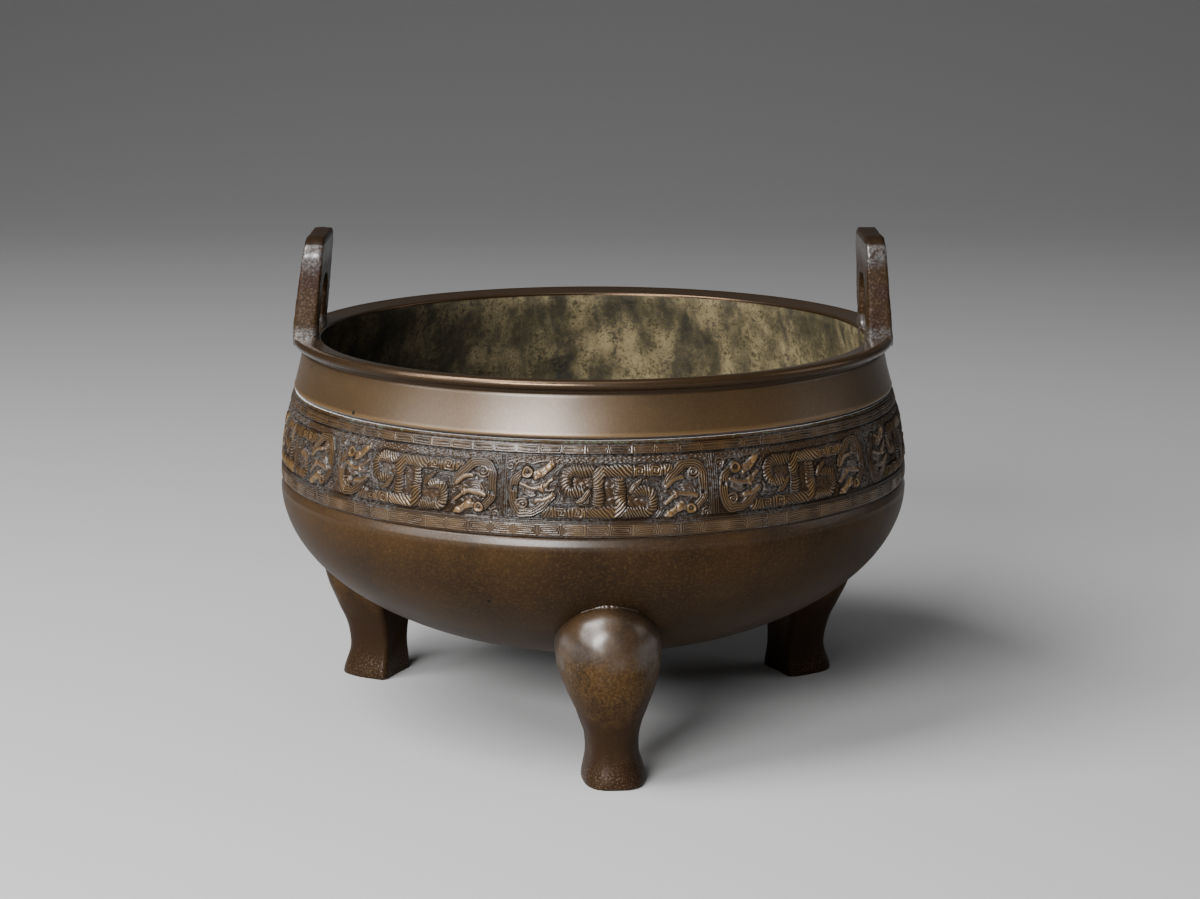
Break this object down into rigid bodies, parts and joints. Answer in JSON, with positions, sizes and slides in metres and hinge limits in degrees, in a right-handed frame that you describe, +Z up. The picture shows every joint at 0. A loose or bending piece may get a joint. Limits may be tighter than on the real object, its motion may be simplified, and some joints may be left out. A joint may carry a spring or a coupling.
{
  "type": "bronze ding vessel",
  "caption": "Round bowl cast in bronze with a flat lip, upright loop handles, a dragon-interlace frieze and cabriole legs.",
  "frame": {"origin": "on the bowl's axis, at the level of the feet's soles", "axes": "+Z up along the bowl's axis; -Y is the front, where one leg stands; the handles are at -X and +X"},
  "size_m": [0.1614, 0.1628, 0.1234],
  "materials": {
    "bronze": "brown patinated cast bronze, satin and worn warmer on high relief, dark in the cavities, mottled inside"
  },
  "bodies": {
    "root": {"vessel": "bronze"}
  },
  "joints": []
}
